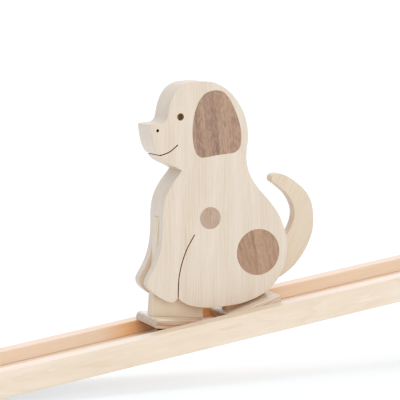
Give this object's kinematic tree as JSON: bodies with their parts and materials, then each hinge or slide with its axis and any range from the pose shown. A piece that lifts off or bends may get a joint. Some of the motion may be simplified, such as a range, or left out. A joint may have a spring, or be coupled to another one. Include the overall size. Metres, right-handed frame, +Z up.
{
  "type": "walking toy seesaw",
  "caption": "Wooden toy seesaw: a channelled beam tilts on a low stand, and a flat layered dog on wide soles walks down the channel as its rear leg and tail swing.",
  "frame": {"origin": "on the floor under the beam's pivot, in the middle of the stand's underside", "axes": "+X along the beam's plan towards the end that is raised at rest; +Y across the beam, away from the dog's near side; +Z up. The dog looks towards -X."},
  "size_m": [0.7935, 0.07, 0.2032],
  "materials": {
    "maple": "pale fine-grained wood, sanded, thin matt oil",
    "sole_wood": "pale wood, sanded, end grain at the toes",
    "rail_wood": "pale straight-grained wood, sanded, thin matt oil",
    "floor_wood": "pale plywood or thin board, sanded",
    "stand_wood": "pale wood, sanded, thin matt oil",
    "dowel_wood": "plain round dowel rod",
    "walnut": "dark grey-brown wood with streaked grain, sanded flush",
    "rubber": "matt black sheet rubber",
    "steel": "zinc-plated countersunk screw"
  },
  "bodies": {
    "stand": {"stand_base": "stand_wood", "stand_cheek_near": "stand_wood", "stand_cheek_far": "stand_wood", "pivot_axle": "walnut", "stand_screw_near_low": "steel", "stand_screw_near_high": "steel", "stand_screw_far_low": "steel", "stand_screw_far_high": "steel"},
    "beam": {"near_rail": "rail_wood", "far_rail": "rail_wood", "channel_floor": "floor_wood", "low_end_block": "rail_wood", "high_end_block": "rail_wood", "pivot_block": "stand_wood", "low_end_dowel": "dowel_wood", "high_end_dowel": "dowel_wood", "pivot_block_dowel_low": "dowel_wood", "pivot_block_dowel_high": "dowel_wood"},
    "dog": {"body_near_side": "maple", "body_core": "maple", "body_far_side": "maple", "ear_inlay_near": "walnut", "ear_inlay_far": "walnut", "haunch_inlay_near": "walnut", "haunch_inlay_far": "walnut", "shoulder_axle": "walnut", "front_leg": "maple", "front_leg_dowel_1": "dowel_wood", "front_leg_dowel_2": "dowel_wood", "front_sole": "sole_wood", "front_sole_dowel_1": "dowel_wood", "front_sole_dowel_2": "dowel_wood", "front_grip_pad": "rubber"},
    "rear_leg": {"rear_leg": "maple", "tail": "maple", "tail_dowel": "dowel_wood", "rear_sole": "sole_wood", "rear_sole_dowel_1": "dowel_wood", "rear_sole_dowel_2": "dowel_wood", "rear_grip_pad": "rubber"}
  },
  "joints": [
    {"name": "beam_tilt", "type": "hinge", "parent": "stand", "child": "beam", "pos_m": [0, 0, 0.04929], "axis": [0, 1, 0], "range_deg": [0, 17.5]},
    {"name": "dog_travel", "type": "slide", "parent": "beam", "child": "dog", "axis": [-0.9884, 0, -0.1521], "range_m": [-0.548, 0.128]},
    {"name": "rear_leg_swing", "type": "hinge", "parent": "dog", "child": "rear_leg", "pos_m": [-0.21676, 0, 0.11131], "axis": [0, 1, 0], "range_deg": [-14, 8]}
  ]
}
